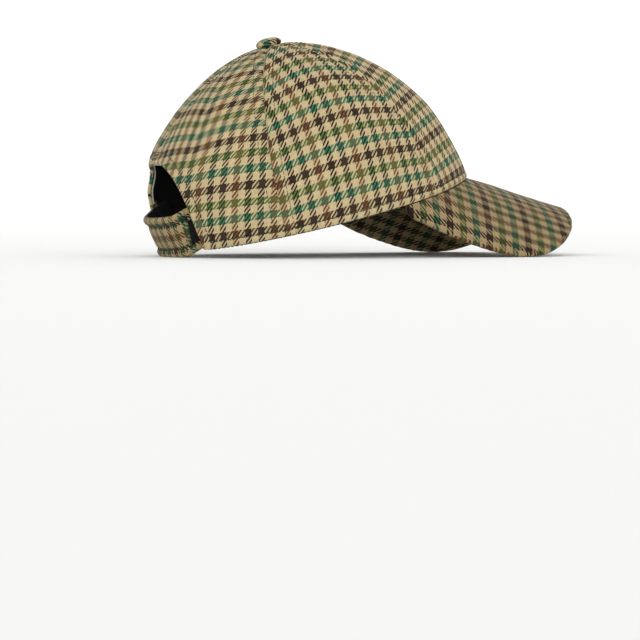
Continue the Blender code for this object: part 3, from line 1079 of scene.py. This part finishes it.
# Button
def add_button():
    """The covered button, with small pleats round its side."""
    turns = np.radians(np.arange(0.0, 360.0, 5.0))
    radius, height = button_section[:, 0] * MM, button_section[:, 1] * MM
    pleat = np.cos(turns * button_pleats)[None, :] * pressed(height, *button_pleat)[:, None]
    r = radius[:, None] + pleat * (radius[:, None] > 0.004)
    x, y = r * np.cos(turns)[None, :], r * np.sin(turns)[None, :]
    z = height[:, None] + 0 * x
    points = np.stack([x + top_lean, y, z + crown_height + piece_gap], -1)
    run = np.concatenate([[0.0], np.cumsum(np.hypot(np.diff(radius), np.diff(height)))])
    u = run[:, None] * np.sin(turns)[None, :] / check_width + button_cloth_at[0]
    v = -run[:, None] * np.cos(turns)[None, :] / check_height + button_cloth_at[1]
    rows, columns = points.shape[:2]
    faces = grid_faces(rows, columns, closed=True)[:, ::-1]
    dress(make_object("button_cloth", rest(points), faces, np.stack([u, v], -1), (tweed,)), "button")


add_button()


# Stitching
def stitches(paths, radius):
    """Small raised stitches along paths. Each path is its points and the normals there, on the level cap."""
    all_points, all_faces = [], []
    rings = np.array(((-0.5, -1.2), (-0.42, 0.1), (-0.2, 0.9), (0.2, 0.9), (0.42, 0.1), (0.5, -1.2)))
    sides = np.radians(np.arange(0, 360, 72))
    count = 0
    for points, normals in paths:
        run = run_along(points)
        total = int(run[-1] / stitch_pitch)
        if total < 1:
            continue
        centres = (np.arange(total) + 0.5) * run[-1] / total
        for centre in centres:
            stretch = centre + rings[:, 0] * stitch_length
            path = np.stack([np.interp(stretch, run, points[:, k]) for k in range(3)], -1)
            normal = unit(np.array([np.interp(centre, run, normals[:, k]) for k in range(3)]))
            ahead = unit(path[-1] - path[0])
            side = np.cross(normal, ahead)
            path = path + normal * (rings[:, 1] * radius)[:, None]
            ring = side[None, :] * np.cos(sides)[:, None] + normal[None, :] * np.sin(sides)[:, None]
            block = path[:, None, :] + ring[None, :, :] * radius
            all_points.append(block.reshape(-1, 3))
            all_faces.append(grid_faces(len(rings), len(sides), count, closed=True))
            count += len(rings) * len(sides)
    return np.concatenate(all_points), np.concatenate(all_faces)


def cloth_path(angle, rise, gap_strip=False):
    """Points on the dressed cloth, and the normals there."""
    normal = crown_normal(angle, rise)
    return crown_point(angle, rise) + normal * relief(angle, rise, gap_strip)[..., None], normal


def add_stitching(name, paths, radius=stitch_radius):
    """Stitches that ride on the cap, beside the pieces that stand for CAD nodes."""
    points, faces = stitches(paths, radius)
    uvs = points[:, :2] * 300
    made = make_object(name, rest(points), faces, uvs, (thread,))
    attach(made, "root")


def seam_paths():
    """A stitched line on each side of every seam, clear of the gap."""
    paths = []
    for seam in (0.0, front_seam_angle, back_seam_angle, 180.0, -back_seam_angle, -front_seam_angle):
        for side in (-1, 1):
            rise = np.linspace(0.004, 0.90, 240)
            angle = seam + side * seam_allowance / width_of_a_degree(seam, rise)
            angle = wrapped(angle)
            clear = from_gap(angle, rise) > gap_hem + 0.001
            if clear.sum() < 20:
                continue
            paths.append(cloth_path(angle[clear], rise[clear]))
    return paths


def rim_paths():
    """The rim's stitched line, clear of the gap."""
    paths = []
    for low, high in ((-148.0, -72.0), (-72.0, 0.0), (0.0, 72.0), (72.0, 148.0)):
        angle = np.linspace(low, high, 260)
        speed = np.linalg.norm(crown_point(angle, 0.02) - crown_point(angle, 0.0), axis=-1) / 0.02
        rise = rim_hem / speed
        clear = from_gap(angle, rise) > 0.0035
        paths.append(cloth_path(angle[clear], rise[clear]))
    return paths


def gap_paths():
    """The stitched line round the gap."""
    turns = np.linspace(4.0, 176.0, 400)
    angle, rise = back_place(*gap_outline(turns, gap_hem))
    return [cloth_path(wrapped(angle), rise, True)]


def fold_paths():
    """Tiny tufts of green along the rim's fold."""
    paths = []
    for low, high in ((-151.0, -74.0), (74.0, 151.0)):
        angle = np.linspace(low, high, 300)
        rise = np.full(angle.shape, 0.0035)
        clear = from_gap(angle, rise) > 0.004
        points, normal = cloth_path(angle[clear], rise[clear])
        paths.append((points, unit(normal * 0.6 - np.array([0.0, 0.0, 0.8]))))
    return paths


add_stitching("seam_stitching", seam_paths(), seam_stitch_radius)
add_stitching("hem_stitching", rim_paths() + gap_paths())
add_stitching("strap_stitching", strap_paths())
add_stitching("fold_tufts", fold_paths())

# The camera's angle to the cap, as in the photograph: the level way to its right, and the way it looks
camera_turn = math.radians(-19.4)
right_way = Vector((math.cos(camera_turn), math.sin(camera_turn), 0.0))
far_way = Vector((-right_way.y, right_way.x, 0.0))

# Floor and backdrop
floor_mesh = bpy.data.meshes.new("floor")
profile = [(-12.0, 0.0), (2.2, 0.0)]
profile += [(2.2 + 1.2 * math.sin(a), 1.2 - 1.2 * math.cos(a)) for a in np.radians(np.arange(9, 91, 9))]
profile += [(3.4, 4.0)]
floor_points = [
    far_way * depth + right_way * width + Vector((0, 0, height))
    for depth, height in profile
    for width in (-5, 5)
]
floor_faces = [(2 * i, 2 * i + 1, 2 * i + 3, 2 * i + 2) for i in range(len(profile) - 1)]
floor_mesh.from_pydata([tuple(point) for point in floor_points], [], floor_faces)
floor_mesh.polygons.foreach_set("use_smooth", np.ones(len(floor_faces), bool))
floor = bpy.data.objects.new("floor", floor_mesh)
bpy.context.scene.collection.objects.link(floor)
paper = Nodes("pale_paper")
paper.shader.inputs["Base Color"].default_value = (0.95, 0.95, 0.94, 1.0)
paper.shader.inputs["Roughness"].default_value = 0.9
paper.shader.inputs["Specular IOR Level"].default_value = 0.1
floor_mesh.materials.append(paper.material)

# Light
world = bpy.data.worlds.new("studio")
world.use_nodes = True
world.node_tree.nodes["Background"].inputs["Color"].default_value = (1.0, 1.0, 1.0, 1.0)
world.node_tree.nodes["Background"].inputs["Strength"].default_value = 0.81
bpy.context.scene.world = world
bpy.context.scene.view_settings.view_transform = "Standard"

# A broad soft light from beside the camera, and a weaker one from the other side. Each row is the way it comes
# from and how high, in degrees, then its strength and its spread.
lights = (("key", -20.0, 14.0, 1.20, 32.0), ("fill", 25.0, 15.0, 0.36, 45.0))
for name, turn, height, strength, spread in lights:
    light_data = bpy.data.lights.new(name, "SUN")
    light_data.energy = strength
    light_data.angle = math.radians(spread)
    light = bpy.data.objects.new(name, light_data)
    turn, height = math.radians(turn), math.radians(height)
    way = Vector((math.sin(turn), -math.cos(turn), math.tan(height)))
    light.rotation_mode = "QUATERNION"
    light.rotation_quaternion = way.to_track_quat("Z", "Y")
    bpy.context.scene.collection.objects.link(light)

# Camera
camera_distance = 1.84
camera_height = 0.040
aim_aside = 0.00579
aim_below = 0.0641
pixels = 640
millimetres_a_pixel = 0.61
sensor_width = 36.0
rim_centre = Vector((rest_shift, 0.0, rest_lift))
place = rim_centre - far_way * camera_distance
place.z = camera_height
aim = rim_centre + right_way * aim_aside - Vector((0, 0, aim_below))
camera_data = bpy.data.cameras.new("camera")
camera_data.sensor_width = sensor_width
camera_data.lens = sensor_width * camera_distance / (millimetres_a_pixel * MM * pixels)
camera_data.clip_start = 0.05
camera = bpy.data.objects.new("camera", camera_data)
camera.rotation_mode = "QUATERNION"
camera.location = place
facing = (aim - place).to_track_quat("-Z", "Y")
camera.rotation_quaternion = facing
bpy.context.scene.collection.objects.link(camera)
bpy.context.scene.camera = camera
